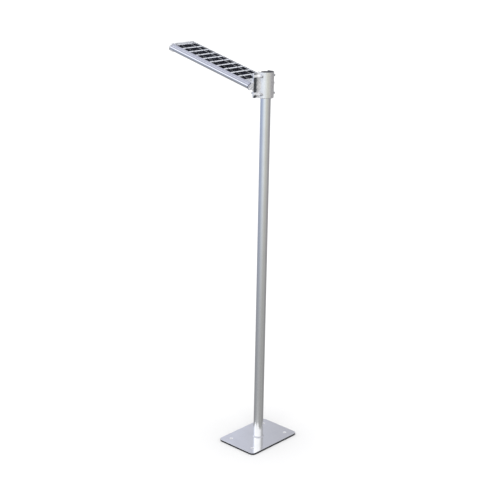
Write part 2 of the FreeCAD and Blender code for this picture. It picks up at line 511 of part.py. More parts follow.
# power switch: threaded body through the cover, actuator slides in its bore
BTN_R, BTN_T = 5.0, 1.6
sw = fuse([cyl(10.0, 1.6, (SW_X, -SW_S, -38.6), (0, 0, 1)), cyl(8.0, 19.0, (SW_X, -SW_S, -37.0), (0, 0, 1))])
sw = sw.makeFillet(0.5, [e for e in sw.Edges if e.BoundBox.ZMax < -38.59])
sw = sw.cut(cyl(BTN_R + 0.05, 12.0, (SW_X, -SW_S, -39.6), (0, 0, 1)))
export("switch_body", H(sw.removeSplitter()))
nut = hexprism(18.4, 1.5, (SW_X, -SW_S, -35.0), "z").cut(cyl(8.0, 6, (SW_X, -SW_S, -37), (0, 0, 1)))
export("switch_nut", H(nut))
btn = cyl(BTN_R, 8.0, (SW_X, -SW_S, -40.0), (0, 0, 1))
btn = btn.makeFillet(0.6, [e for e in btn.Edges if e.BoundBox.ZMax < -39.99])
btn = btn.cut(Part.makeSphere(12.0, V(SW_X, -SW_S, -51.4)))
export("power_button", H(btn))
spr = cyl(3.4, 1.5, (SW_X, -SW_S, -29.1), (0, 0, 1)).cut(cyl(2.6, 4, (SW_X, -SW_S, -30), (0, 0, 1)))
export("switch_contact_ring", H(spr))

win = cyl(2.55, 5.0, (30, -SW_S, -37.2), (0, 0, 1))
export("status_window", H(win))
vent = fuse([cyl(5.6, 1.6, (-30, -SW_S, -38.6), (0, 0, 1)), cyl(4.0, 7.0, (-30, -SW_S, -37.0), (0, 0, 1))])
vent = vent.cut(cyl(1.2, 20, (-30, -SW_S, -40), (0, 0, 1)))
export("vent_plug", H(vent))

# leads and the bush that protects them in the top wall
bush = cyl(4.95, 3.0, (0, -PANEL_S, -8.0), (0, 0, 1)).fuse(cyl(6.6, 1.0, (0, -PANEL_S, -9.0), (0, 0, 1)))
bush = bush.cut(cyl(2.6, 8, (0, -PANEL_S, -11), (0, 0, 1)))
export("lead_bush", H(bush.removeSplitter()))
lead = []
for dx in (-1.2, 1.2):
    k = 62.4 if dx > 0 else 62.4 - 2.6
    lead.append(tube_path([(dx, -PANEL_S, -3.7), (dx, -PANEL_S, -12.0), (k, -PANEL_S + (1.5 if dx > 0 else -1.5), -12.5),
                           (k + 0.0, -(b_s[0] - 20), -11.0)], 1.1))
export("panel_leads", H(compound(lead)))
lead = []
for i, x in enumerate((33.0, 36.5)):
    lead.append(tube_path([(x, -(b_s[-1] + 14), -24.0), (x, -350.0, -25.0), (x + 6, -(C0 + 10), -20.9 + 8.6 - 2.0)], 1.2))
export("battery_leads", H(compound(lead)))
lead = []
for i, x in enumerate((-1.5, 1.5)):
    lead.append(tube_path([(x, -(LED_S0 + 14), -31.5), (x, -(LED_S0 + 14), -24.5), (x * 6 , -(C0 - 4), -19.0)], 1.0))
export("led_leads", H(compound(lead)))
print("done")
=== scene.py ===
import bpy, bmesh, math, json, random
from mathutils import Vector, Matrix, noise


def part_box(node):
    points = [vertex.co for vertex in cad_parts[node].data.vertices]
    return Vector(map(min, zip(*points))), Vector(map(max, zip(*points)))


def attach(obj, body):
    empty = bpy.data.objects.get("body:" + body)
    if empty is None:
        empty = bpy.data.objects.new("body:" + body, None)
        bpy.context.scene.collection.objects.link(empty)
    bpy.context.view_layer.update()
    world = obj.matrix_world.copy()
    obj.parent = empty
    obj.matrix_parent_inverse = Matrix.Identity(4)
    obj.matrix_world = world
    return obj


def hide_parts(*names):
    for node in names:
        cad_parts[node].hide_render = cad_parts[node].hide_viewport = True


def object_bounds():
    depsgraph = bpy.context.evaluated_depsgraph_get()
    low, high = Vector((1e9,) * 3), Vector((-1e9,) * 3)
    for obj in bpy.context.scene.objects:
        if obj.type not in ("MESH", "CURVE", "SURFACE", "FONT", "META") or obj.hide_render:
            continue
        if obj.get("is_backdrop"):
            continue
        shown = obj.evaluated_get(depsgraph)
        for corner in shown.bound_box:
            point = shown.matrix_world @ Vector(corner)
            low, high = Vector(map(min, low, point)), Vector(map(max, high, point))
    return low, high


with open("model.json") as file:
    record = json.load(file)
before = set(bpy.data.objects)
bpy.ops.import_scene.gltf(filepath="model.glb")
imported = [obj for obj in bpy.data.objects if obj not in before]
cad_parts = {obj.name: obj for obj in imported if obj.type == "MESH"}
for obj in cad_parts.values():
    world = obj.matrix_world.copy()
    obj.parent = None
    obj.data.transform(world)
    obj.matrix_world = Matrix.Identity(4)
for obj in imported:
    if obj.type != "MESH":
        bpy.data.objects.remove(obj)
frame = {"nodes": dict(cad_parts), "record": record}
CAD_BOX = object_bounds()
NODES = frame["nodes"]
SLOT = {s["node"]: s["material_slot"] for s in frame["record"]["subparts"]}
scene = bpy.context.scene
BODY = {n: b for b, ns in frame["record"]["behaviour"]["bodies"].items() for n in ns}
MM = 0.001
random.seed(7)

# the head's own frame: X across, S away from the pole, N out of the glass
TILT = math.radians(13.5)
HEAD_Z = 2.2415


def hp(x, s, n):
    """a point of the head, millimetres across, out and up, in row metres"""
    c, k = math.cos(TILT), math.sin(TILT)
    return Vector((x * MM, (-s * c + n * k) * MM, HEAD_Z + (s * k + n * c) * MM))


HEAD_M = Matrix.Translation((0, 0, HEAD_Z)) @ Matrix.Rotation(-TILT, 4, "X")   # local Y = -s

# ------------------------------------------------------------------ materials


def new_mat(name):
    m = bpy.data.materials.new(name)
    m.use_nodes = True
    nt = m.node_tree
    return m, nt, nt.nodes["Principled BSDF"]


def add(nt, kind, **kw):
    n = nt.nodes.new(kind)
    for k, v in kw.items():
        setattr(n, k, v)
    return n


def noise_tex(nt, scale, detail=4.0, rough=0.55, stretch=(1, 1, 1), rot=(0, 0, 0)):
    tc = add(nt, "ShaderNodeTexCoord")
    mp = add(nt, "ShaderNodeMapping")
    mp.inputs["Scale"].default_value = stretch
    mp.inputs["Rotation"].default_value = rot
    nt.links.new(tc.outputs["Object"], mp.inputs["Vector"])
    n = add(nt, "ShaderNodeTexNoise")
    n.inputs["Scale"].default_value = scale
    n.inputs["Detail"].default_value = detail
    n.inputs["Roughness"].default_value = rough
    nt.links.new(mp.outputs["Vector"], n.inputs["Vector"])
    return n.outputs["Fac"]


def rng(nt, fac, a, b, lo=0.3, hi=0.7):
    r = add(nt, "ShaderNodeMapRange")
    r.inputs["From Min"].default_value = lo
    r.inputs["From Max"].default_value = hi
    r.inputs["To Min"].default_value = a
    r.inputs["To Max"].default_value = b
    nt.links.new(fac, r.inputs["Value"])
    return r.outputs["Result"]


def mixcol(nt, fac, a, b):
    m = add(nt, "ShaderNodeMix", data_type="RGBA")
    if isinstance(fac, (int, float)):
        m.inputs[0].default_value = fac
    else:
        nt.links.new(fac, m.inputs[0])
    for i, c in ((6, a), (7, b)):
        if isinstance(c, (tuple, list)):
            m.inputs[i].default_value = (*c[:3], 1)
        else:
            nt.links.new(c, m.inputs[i])
    return m.outputs[2]


def math_n(nt, op, a, b=0.0, c=None):
    m = add(nt, "ShaderNodeMath", operation=op)
    for i, v in enumerate((a, b, c)):
        if v is None:
            continue
        if isinstance(v, (int, float)):
            m.inputs[i].default_value = v
        else:
            nt.links.new(v, m.inputs[i])
    return m.outputs[0]


def surface(name, base, rough=0.4, metal=0.0, vary=0.08, rvar=0.07, scale=18.0, fine=420.0, bump=0.06,
            stretch=(1, 1, 1), rot=(0, 0, 0), dark=None, spec=0.5, coat=0.0, aniso=0.0, wear=0.0, bump_d=0.0004):
    """a finish with large smudges, fine grain or brushing, and a little relief"""
    m, nt, p = new_mat(name)
    big = noise_tex(nt, scale, 5.0)
    grain = noise_tex(nt, fine, 3.0, 0.6, stretch, rot)
    dark = dark or tuple(c * (1.0 - vary) for c in base)
    col = mixcol(nt, rng(nt, big, 0.0, 1.0), base, dark)
    if wear > 0:
        spots = noise_tex(nt, scale * 9.0, 6.0, 0.7)
        col = mixcol(nt, rng(nt, spots, 0.0, wear, 0.62, 0.72), col, tuple(min(1.0, c * 0.55) for c in base))
    nt.links.new(col, p.inputs["Base Color"])
    r1 = rng(nt, big, rough - rvar, rough + rvar)
    r2 = rng(nt, grain, -rvar * 0.6, rvar * 0.6)
    nt.links.new(math_n(nt, "ADD", r1, r2), p.inputs["Roughness"])
    p.inputs["Metallic"].default_value = metal
    p.inputs["Specular IOR Level"].default_value = spec
    p.inputs["Coat Weight"].default_value = coat
    p.inputs["Anisotropic"].default_value = aniso
    if bump > 0:
        b = add(nt, "ShaderNodeBump")
        b.inputs["Strength"].default_value = bump
        b.inputs["Distance"].default_value = bump_d
        nt.links.new(grain, b.inputs["Height"])
        nt.links.new(b.outputs["Normal"], p.inputs["Normal"])
    return m


MAT = {}
MAT["steel_plate"] = surface("steel_plate_top", (0.925, 0.925, 0.93), 0.13, 1.0, 0.05, 0.035, 9.0, 900.0, 0.03,
                             stretch=(0.04, 1, 1), bump_d=0.0001)
MAT["plate_edge"] = surface("plate_cut_edge", (0.062, 0.065, 0.072), 0.42, 0.8, 0.30, 0.08, 60.0, 700.0, 0.30,
                            stretch=(0.3, 0.3, 4.0))
# painted highlight: the plate's hole walls are near-white and half matte, standing in for the bright reflections seen
# in the holes
MAT["plate_bore"] = surface("plate_bore_bright", (0.97, 0.97, 0.98), 0.32, 0.35, 0.03, 0.05, 80.0, 900.0, 0.1)
MAT["steel_pole"] = surface("steel_pole_brushed", (0.93, 0.935, 0.95), 0.16, 1.0, 0.04, 0.035, 7.0, 1100.0, 0.035,
                            stretch=(1, 1, 0.02), bump_d=0.0001)
MAT["weld_bead"] = surface("weld_bead_steel", (0.93, 0.93, 0.94), 0.26, 1.0, 0.10, 0.06, 90.0, 900.0, 0.15)
MAT["black_plastic"] = surface("black_plastic", (0.03, 0.03, 0.034), 0.5, 0.0, 0.25, 0.08, 40.0, 1500.0, 0.15)
MAT["cast_aluminium"] = surface("cast_aluminium", (0.90, 0.905, 0.925), 0.33, 0.70, 0.03, 0.04, 24.0, 2600.0, 0.04, bump_d=0.00012)
MAT["cast_bracket"] = surface("cast_bracket", (0.90, 0.905, 0.93), 0.33, 0.82, 0.03, 0.04, 24.0, 2600.0, 0.04, bump_d=0.00012)
MAT["cast_cap"] = surface("cast_cap_satin", (0.90, 0.905, 0.915), 0.36, 0.35, 0.03, 0.04, 24.0, 2600.0, 0.05, bump_d=0.00012)
# painted shade: dark grey for the upward-facing faces of the clamp's top rim, a thin line standing in for the shaded
# inside seen over the rim
MAT["cast_rim"] = surface("cast_rim_dark", (0.16, 0.165, 0.17), 0.45, 0.6, 0.10, 0.05, 60.0, 1200.0, 0.1)
# painted shade: dark colour for the counterbores round the bolt heads, standing in for the shadow in these pockets
MAT["cast_bore"] = surface("cast_bore_dark", (0.09, 0.095, 0.11), 0.5, 0.4, 0.15, 0.06, 40.0, 1200.0, 0.2)
# painted shade: dark colour for the clamp's inside faces, standing in for the shade between the shell and the pole
MAT["cast_inside"] = surface("cast_inside_raw", (0.12, 0.125, 0.14), 0.5, 0.4, 0.15, 0.06, 40.0, 1200.0, 0.2)


def polished_back():
    """the rear half: satin near the joint, buffed brighter round its back"""
    m = surface("cast_rear_buffed", (0.965, 0.965, 0.975), 0.23, 0.8, 0.03, 0.04, 24.0, 2600.0, 0.04, bump_d=0.00012)
    nt = m.node_tree
    tc = add(nt, "ShaderNodeTexCoord")
    sep = add(nt, "ShaderNodeSeparateXYZ")
    nt.links.new(tc.outputs["Object"], sep.inputs[0])
    nt.links.new(rng(nt, sep.outputs["Y"], 0.32, 0.96, -0.008, 0.033), nt.nodes["Principled BSDF"].inputs["Metallic"])
    return m


MAT["cast_rear"] = polished_back()
MAT["extruded_aluminium"] = surface("extruded_aluminium", (0.93, 0.935, 0.96), 0.19, 1.0, 0.05, 0.045, 12.0, 900.0, 0.06,
                                    stretch=(1, 0.03, 0.1), rot=(-TILT, 0, 0))
MAT["zinc_steel"] = surface("zinc_steel", (0.86, 0.865, 0.88), 0.24, 1.0, 0.10, 0.07, 120.0, 1500.0, 0.08)
MAT["black_rubber"] = surface("black_rubber", (0.045, 0.052, 0.062), 0.62, 0.0, 0.35, 0.08, 110.0, 1600.0, 0.30)
MAT["silicone"] = surface("silicone_grey", (0.50, 0.50, 0.52), 0.55, 0.0, 0.12, 0.06, 60.0, 900.0, 0.15)
MAT["tinned_ribbon"] = surface("tinned_ribbon", (0.37, 0.38, 0.41), 0.36, 0.1, 0.08, 0.08, 60.0, 1600.0, 0.10)
MAT["white_sheet"] = surface("white_sheet", (0.77, 0.78, 0.83), 0.55, 0.0, 0.05, 0.06, 30.0, 900.0, 0.08)
MAT["battery_wrap"] = surface("battery_wrap", (0.05, 0.25, 0.55), 0.30, 0.0, 0.12, 0.06, 60.0, 800.0, 0.06, coat=0.3)
MAT["nickel"] = surface("nickel_strip", (0.70, 0.68, 0.62), 0.32, 1.0, 0.08, 0.06, 80.0, 900.0, 0.1)
MAT["black_holder"] = surface("black_holder", (0.05, 0.05, 0.05), 0.55, 0.0, 0.2, 0.08, 60.0, 900.0, 0.15)
MAT["white_board"] = surface("white_board", (0.84, 0.84, 0.82), 0.42, 0.0, 0.05, 0.05, 40.0, 900.0, 0.06)
MAT["component_black"] = surface("component_black", (0.04, 0.04, 0.042), 0.45, 0.0, 0.3, 0.08, 90.0, 900.0, 0.15)
MAT["led_phosphor"] = surface("led_phosphor", (0.90, 0.74, 0.16), 0.40, 0.0, 0.10, 0.05, 300.0, 2500.0, 0.06)
MAT["grey_cover"] = surface("grey_powder_coat", (0.46, 0.465, 0.49), 0.46, 0.0, 0.07, 0.06, 26.0, 2200.0, 0.28, bump_d=0.0002)
MAT["white_dome"] = surface("white_dome", (0.82, 0.82, 0.82), 0.34, 0.0, 0.04, 0.05, 120.0, 900.0, 0.05)
MAT["switch_steel"] = surface("switch_steel", (0.78, 0.78, 0.79), 0.22, 1.0, 0.06, 0.06, 160.0, 1500.0, 0.08, aniso=0.3)
MAT["wire_insulation"] = surface("wire_insulation", (0.42, 0.03, 0.03), 0.38, 0.0, 0.15, 0.06, 90.0, 900.0, 0.1)


def circuit():
    m, nt, p = new_mat("circuit_board")
    tracks = add(nt, "ShaderNodeTexBrick")
    tc = add(nt, "ShaderNodeTexCoord")
    mp = add(nt, "ShaderNodeMapping")
    mp.inputs["Scale"].default_value = (60, 60, 60)
    nt.links.new(tc.outputs["Object"], mp.inputs["Vector"])
    nt.links.new(mp.outputs["Vector"], tracks.inputs["Vector"])
    tracks.inputs["Color1"].default_value = (0.02, 0.17, 0.06, 1)
    tracks.inputs["Color2"].default_value = (0.03, 0.22, 0.08, 1)
    tracks.inputs["Mortar"].default_value = (0.05, 0.30, 0.12, 1)
    tracks.inputs["Mortar Size"].default_value = 0.04
    nt.links.new(tracks.outputs["Color"], p.inputs["Base Color"])
    nt.links.new(rng(nt, noise_tex(nt, 80.0), 0.25, 0.42), p.inputs["Roughness"])
    return m


MAT["circuit_board"] = circuit()


def cell_mat():
    """dark silicon with fine printed fingers and a slight change of tint"""
    m, nt, p = new_mat("silicon_cell")
    tc = add(nt, "ShaderNodeTexCoord")
    sep = add(nt, "ShaderNodeSeparateXYZ")
    nt.links.new(tc.outputs["Object"], sep.inputs[0])
    fr = math_n(nt, "FRACT", math_n(nt, "MULTIPLY", sep.outputs["X"], 1000.0 / 2.2))
    line = math_n(nt, "LESS_THAN", fr, 0.055)
    tint = mixcol(nt, rng(nt, noise_tex(nt, 14.0, 2.0), 0, 1), (0.0012, 0.0016, 0.0065), (0.0035, 0.0042, 0.012))
    col = mixcol(nt, math_n(nt, "MULTIPLY", line, 0.30), tint, (0.035, 0.037, 0.05))
    nt.links.new(col, p.inputs["Base Color"])
    nt.links.new(rng(nt, noise_tex(nt, 300.0), 0.34, 0.46), p.inputs["Roughness"])
    p.inputs["Specular IOR Level"].default_value = 0.03
    return m


MAT["silicon_cell"] = cell_mat()


def clear_mat(name, gloss, tint, milky, rough=0.05, milk=(0.85, 0.86, 0.88)):
    """thin clear sheet: mostly see-through, some mirror reflection, and a trace of milkiness"""
    m = bpy.data.materials.new(name)
    m.use_nodes = True
    nt = m.node_tree
    for n in list(nt.nodes):
        nt.nodes.remove(n)
    out = add(nt, "ShaderNodeOutputMaterial")
    tr = add(nt, "ShaderNodeBsdfTransparent")
    tr.inputs["Color"].default_value = (*tint, 1)
    p = add(nt, "ShaderNodeBsdfPrincipled")
    p.inputs["Base Color"].default_value = (*milk, 1)
    nt.links.new(rng(nt, noise_tex(nt, 30.0), rough * 0.7, rough * 1.4), p.inputs["Roughness"])
    gl = add(nt, "ShaderNodeBsdfGlossy")
    nt.links.new(rng(nt, noise_tex(nt, 30.0), rough * 0.7, rough * 1.4), gl.inputs["Roughness"])
    gl.inputs["Color"].default_value = (1, 1, 1, 1)
    mx = add(nt, "ShaderNodeMixShader")
    mx.inputs[0].default_value = milky
    nt.links.new(tr.outputs[0], mx.inputs[1])
    nt.links.new(p.outputs[0], mx.inputs[2])
    lw = add(nt, "ShaderNodeLayerWeight")
    lw.inputs["Blend"].default_value = 0.12
    f = math_n(nt, "MULTIPLY", lw.outputs["Fresnel"], gloss)
    mx2 = add(nt, "ShaderNodeMixShader")
    nt.links.new(f, mx2.inputs[0])
    nt.links.new(mx.outputs[0], mx2.inputs[1])
    nt.links.new(gl.outputs[0], mx2.inputs[2])
    nt.links.new(mx2.outputs[0], out.inputs["Surface"])
    return m


MAT["panel_glass"] = clear_mat("panel_glass", 0.03, (0.98, 0.985, 0.99), 0.0, 0.08)
MAT["clear_polycarbonate"] = clear_mat("clear_polycarbonate", 0.9, (0.93, 0.94, 0.95), 0.16, 0.10)

# ------------------------------------------------------------------ mesh helpers


def to_object(name, bm, mats, body, replaces=(), sharp=32.0, smooth=True, weighted=False):
    me = bpy.data.meshes.new(name)
    bm.to_mesh(me)
    bm.free()
    for m in mats:
        me.materials.append(m)
    ob = bpy.data.objects.new(name, me)
    scene.collection.objects.link(ob)
    if smooth:
        me.shade_smooth()
        me.set_sharp_from_angle(angle=math.radians(sharp))
    if weighted:
        w = ob.modifiers.new("even_normals", "WEIGHTED_NORMAL")
        w.mode = "FACE_AREA"
        w.weight = 80
        w.keep_sharp = True
    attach(ob, body)
    if replaces:
        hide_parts(*replaces)
    return ob


def from_cad(node, bevel=0.0, segs=2, merge=2e-6, limit=28.0, flat=True):
    """a clean copy of a CAD node's mesh with softened edges"""
    bm = bmesh.new()
    bm.from_mesh(NODES[node].data)
    bmesh.ops.remove_doubles(bm, verts=bm.verts[:], dist=merge)
    if flat:
        bmesh.ops.dissolve_limit(bm, angle_limit=math.radians(0.6), verts=bm.verts[:], edges=bm.edges[:])
    if bevel > 0:
        es = [e for e in bm.edges if len(e.link_faces) == 2 and e.calc_face_angle(0.0) > math.radians(limit)
              and e.calc_length() > bevel * 0.5]
        bmesh.ops.bevel(bm, geom=es, offset=bevel, offset_type="OFFSET", segments=segs, profile=0.5,
                        affect="EDGES", clamp_overlap=True)
    return bm


def refine(node, mat=None, bevel=0.35, segs=2, name=None, sharp=32.0, limit=28.0):
    bm = from_cad(node, bevel * MM, segs, limit=limit)
    return to_object(name or node + "_detail", bm, [mat or MAT[SLOT[node]]], BODY[node], [node],
                     sharp if bevel == 0 else max(sharp, 46.0), weighted=bevel > 0)


def lathe(bm, prof, seg, place=Matrix.Identity(4), closed=False, wob=None):
    """turn a list of (r, z) about Z; r 0 ends become poles"""
    rings = []
    for j, (r, z) in enumerate(prof):
        if r <= 1e-9:
            rings.append([bm.verts.new(place @ Vector((0, 0, z)))])
            continue
        ring = []
        for i in range(seg):
            a = 2 * math.pi * i / seg
            rr, zz = (r, z) if wob is None else wob(r, z, a, j)
            ring.append(bm.verts.new(place @ Vector((rr * math.cos(a), rr * math.sin(a), zz))))
        rings.append(ring)
    pairs = list(zip(rings[:-1], rings[1:])) + ([(rings[-1], rings[0])] if closed else [])
    for a, b in pairs:
        for i in range(seg):
            k = (i + 1) % seg
            if len(a) == 1:
                bm.faces.new((a[0], b[i], b[k]))
            elif len(b) == 1:
                bm.faces.new((a[i], b[0], a[k]))
            else:
                bm.faces.new((a[i], b[i], b[k], a[k]))
    return rings


def axis_place(origin, direction):
    """matrix that puts local Z along direction at origin"""
    q = Vector(direction).to_track_quat("Z", "Y").to_matrix().to_4x4()
    return Matrix.Translation(origin) @ q


# ------------------------------------------------------------------ post
bx0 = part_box("base_plate")
bm = from_cad("base_plate", 0.0)
top_z = bx0[1][2] if not isinstance(bx0, dict) else None
es = [e for e in bm.edges if len(e.link_faces) == 2 and e.calc_face_angle(0.0) > math.radians(28)
      and max(v.co.z for v in e.verts) > 0.0105]
bmesh.ops.bevel(bm, geom=es, offset=0.0004, offset_type="OFFSET", segments=2, profile=0.5, affect="EDGES", clamp_overlap=True)
es = [e for e in bm.edges if len(e.link_faces) == 2 and e.calc_face_angle(0.0) > math.radians(60)
      and max(v.co.z for v in e.verts) < 0.0005]
bmesh.ops.bevel(bm, geom=es, offset=0.0006, offset_type="OFFSET", segments=2, profile=0.5, affect="EDGES", clamp_overlap=True)
bm.normal_update()
for f in bm.faces:
    c = f.calc_center_median()
    in_hole = any(math.hypot(c.x - sx * 0.150, c.y - sy * 0.090) < 0.0112 for sx in (-1, 1) for sy in (-1, 1))
    # painted highlight: hole walls take the near-white finish
    if in_hole and f.normal.z < 0.97:
        f.material_index = 2
    elif f.normal.z > 0.25:
        f.material_index = 0
    else:
        f.material_index = 1
to_object("base_plate_detail", bm, [MAT["steel_plate"], MAT["plate_edge"], MAT["plate_bore"]], "post", ["base_plate"],
          50, weighted=True)

bm = bmesh.new()
lathe(bm, [(0.0270, 0.0120), (0.0300, 0.0120)] + [(0.0300, 0.0120 + 2.2930 * t) for t in
           [0.004, 0.02] + [0.05 * i for i in range(1, 20)] + [0.99, 0.9995]] + [(0.02985, 2.30485), (0.0296, 2.3050), (0.0272, 2.3050), (0.0270, 2.3048)],
      128, closed=True)
to_object("pole_tube_detail", bm, [MAT["steel_pole"]], "post", ["pole_tube"], 40)


def bead(r, z, a, j):
    k = 0.5 + 0.5 * math.sin(a * 66 + 0.8 * math.sin(a * 5))
    w = 0.25 * noise.noise(Vector((math.cos(a) * 9, math.sin(a) * 9, 1.7)))
    if 0 < j < 7:
        lift = (0.00042 * k + 0.00035 * w) * math.sin(math.pi * j / 7.0)
        return r + lift, z + lift * 0.8
    return r, z


bm = bmesh.new()
lathe(bm, [(0.0300, 0.0120), (0.0346, 0.0120), (0.0345, 0.0126), (0.0340, 0.0135), (0.0331, 0.0145), (0.0321, 0.0155),
           (0.0312, 0.0165), (0.0305, 0.0172), (0.0300, 0.0174)], 396, closed=True, wob=bead)
to_object("foot_weld_detail", bm, [MAT["weld_bead"]], "post", ["foot_weld"], 60)
refine("pole_cap", bevel=0.3)

# ------------------------------------------------------------------ clamp
bm = from_cad("clamp_rear_half", 0.0006, 3)
bm.normal_update()
for f in bm.faces:
    c = f.calc_center_median()
    r = math.hypot(c.x, c.y)
    out = (f.normal.x * c.x + f.normal.y * c.y) / max(r, 1e-6)
    bore = min(math.hypot(c.x - sx * 0.052, c.z - 2.235 - sz * 0.051) for sx in (-1, 1) for sz in (-1, 1))
    # painted shade: the inside faces and the counterbores round the bolt heads get dark colours that stand in for the
    # shade in these hollows
    if abs(f.normal.z) < 0.5 and r < 0.0455 and out < -0.3:
        f.material_index = 1
    # painted shade: the counterbore faces round the bolt heads take the dark colour
    elif bore < 0.0088 and c.y > 0.0102 and abs(f.normal.y) < 0.5:
        f.material_index = 3
    # painted shade: the upward-facing faces of the top rim take the dark grey line
    elif c.z > 2.3086 and f.normal.z > 0.35:
        f.material_index = 2
to_object("clamp_rear_half_detail", bm, [MAT["cast_rear"], MAT["cast_inside"], MAT["cast_rim"], MAT["cast_bore"]], BODY["clamp_rear_half"],
          ["clamp_rear_half"], 46, weighted=True)
refine("clamp_bracket", mat=MAT["cast_bracket"], bevel=0.6, segs=3)
# black rubber gasket strips in the joint; their dark colour also serves as painted shade for the shaded gap between the
# front and rear halves
refine("clamp_gasket_strips", bevel=0.3)
refine("clamp_washers_rear", bevel=0.2)
refine("clamp_washers_front", bevel=0.2)
refine("clamp_nuts", bevel=0.15)


def cap_screw(bm, place, head_r, head_h, sock_af, sock_d, shank_r, length, thread, pitch, dome=0.0, knurl=0):
    """socket head screw: local Z 0 is the head's bearing face, head above it, shank below"""
    seg = 48
    # head with a knurled side and a chamfered rim
    def kn(r, z, a, j):
        if knurl and j in (1, 2) and r > head_r * 0.99:
            r = head_r - (0.00016 if (int(a / (2 * math.pi) * seg) % 2) else 0.0)
        return r, z
    ch = min(0.0007, head_h * 0.25)
    hexr = sock_af / math.sqrt(3)
    prof = [(shank_r, 0.0), (head_r, 0.0), (head_r, head_h - ch), (head_r - ch, head_h)]
    lathe(bm, prof, seg, place, wob=kn)
    # annular face with a hexagonal socket
    rim = [bm.verts.new(place @ Vector(((head_r - ch) * math.cos(2 * math.pi * i / seg), (head_r - ch) * math.sin(2 * math.pi * i / seg), head_h))) for i in range(seg)]

    def hexpt(i):
        a = 2 * math.pi * i / seg
        k = a % (math.pi / 3) - math.pi / 6
        return (sock_af / 2) / math.cos(k), a
    lip, low = [], []
    for i in range(seg):
        r, a = hexpt(i)
        lip.append(bm.verts.new(place @ Vector((r * math.cos(a), r * math.sin(a), head_h))))
        low.append(bm.verts.new(place @ Vector((r * math.cos(a), r * math.sin(a), head_h - sock_d))))
    cen = bm.verts.new(place @ Vector((0, 0, head_h - sock_d - 0.0005)))
    for i in range(seg):
        k = (i + 1) % seg
        bm.faces.new((rim[i], lip[i], lip[k], rim[k]))
        bm.faces.new((lip[i], low[i], low[k], lip[k]))
        bm.faces.new((low[i], cen, low[k]))
    # shank: plain, then a helical thread, then a chamfered end
    plain = length - thread
    prof = [(shank_r, 0.0), (shank_r, -max(plain, 0.0002))]
    lathe(bm, prof, 32, place)
    steps = max(8, int(thread / pitch * 6))
    depth = 0.55 * pitch * 0.6

    def thr(r, z, a, j):
        ph = ((z / pitch) + a / (2 * math.pi)) % 1.0
        tri = 1.0 - abs(2 * ph - 1.0)
        fade = min(1.0, j / 6.0)
        end = max(0.0, (-z - (length - 0.0010)) / 0.0010)
        return r - depth * tri * fade - 0.0008 * end, z
    prof = [(shank_r, -plain - thread * i / steps) for i in range(steps + 1)]
    rings = lathe(bm, prof, 32, place, wob=thr)
    c = bm.verts.new(place @ Vector((0, 0, -length)))
    last = rings[-1]
    for i in range(len(last)):
        bm.faces.new((last[i], c, last[(i + 1) % len(last)]))


bm = bmesh.new()
for sx in (-1, 1):
    for sz in (-1, 1):
        cap_screw(bm, axis_place((sx * 0.052, 0.0116, 2.235 + sz * 0.051), (0, 1, 0)), 0.0065, 0.0080, 0.0060, 0.0040,
                  0.0040, 0.0751, 0.030, 0.00125, knurl=1)
bmesh.ops.remove_doubles(bm, verts=bm.verts[:], dist=1e-7)
bmesh.ops.recalc_face_normals(bm, faces=bm.faces[:])
to_object("clamp_bolts_detail", bm, [MAT["zinc_steel"]], BODY["clamp_bolts"], ["clamp_bolts"], 30)

# ------------------------------------------------------------------ head outside
refine("head_housing", bevel=0.35, segs=2, limit=30)
refine("front_end_cap", mat=MAT["cast_cap"], bevel=0.8, segs=3, limit=24)
refine("front_end_gasket", bevel=0.0)
refine("rear_end_gasket", bevel=0.0)
refine("front_cap_screws", bevel=0.12)
refine("rear_cap_screws", bevel=0.12)
refine("solar_glass", bevel=0.0)
refine("led_lens_plate", bevel=0.0)
refine("service_cover", bevel=0.3)
refine("lens_screws", bevel=0.1)
refine("service_screws", bevel=0.1)
refine("power_button", bevel=0.1)
refine("switch_body", bevel=0.1)
refine("vent_plug", bevel=0.3)
refine("status_window", bevel=0.2)


def pir():
    """a moulded dome with the ridges of its lens facets"""
    bm = bmesh.new()
    place = HEAD_M @ Matrix.Translation((0, -0.338, -0.037)) @ Matrix.Rotation(math.pi, 4, "X")
    prof = [(0.0130, 0.0 - 0.0030), (0.0130, -0.0021), (0.0100, -0.0021), (0.0100, 0.0)]
    k = 18
    prof += [(0.0100 * math.cos(math.pi / 2 * i / k), 0.0100 * math.sin(math.pi / 2 * i / k)) for i in range(1, k)] + [(0, 0.0100)]

    def w(r, z, a, j):
        if j >= 4 and r > 0.001:
            f = abs(math.sin(a * 6 + (math.pi / 2 if (j // 4) % 2 else 0)))
            g = 1.0 if j % 4 else 0.0
            d = 0.00018 * (f ** 0.5) * g
            s = (0.0100 - 0.00020 + d) / 0.0100
            return r * s, z * s
        return r, z
    lathe(bm, prof, 96, place, wob=w)
    inner = [(0.0130, -0.0030), (0.0090, -0.0030), (0.0090, 0.0)] + [(0.0090 * math.cos(math.pi / 2 * i / 10), 0.0090 * math.sin(math.pi / 2 * i / 10)) for i in range(1, 10)] + [(0, 0.0090)]
    lathe(bm, inner, 96, place)
    bmesh.ops.remove_doubles(bm, verts=bm.verts[:], dist=1e-7)
    bmesh.ops.recalc_face_normals(bm, faces=bm.faces[:])
    to_object("pir_dome_detail", bm, [MAT["white_dome"]], "head", ["pir_dome"], 12)


pir()

# ------------------------------------------------------------------ inside pieces keep their CAD mesh, with a finish
for n, o in NODES.items():
    if o.hide_render:
        continue
    m = MAT[SLOT[n]]
    if not o.material_slots:
        o.data.materials.append(m)
    for s in o.material_slots:
        s.material = m

# ------------------------------------------------------------------ stage
bm = bmesh.new()
S = 60.0
vs = [bm.verts.new(p) for p in ((-S, -S, 0), (S, -S, 0), (S, S, 0), (-S, S, 0))]
bm.faces.new(vs)
me = bpy.data.meshes.new("floor")
bm.to_mesh(me)
bm.free()
floor = bpy.data.objects.new("floor", me)
scene.collection.objects.link(floor)
fm, nt, p = new_mat("floor_paper_painted_shadow")
paper = mixcol(nt, rng(nt, noise_tex(nt, 1.5), 0, 1), (0.93, 0.93, 0.93), (0.915, 0.915, 0.918))
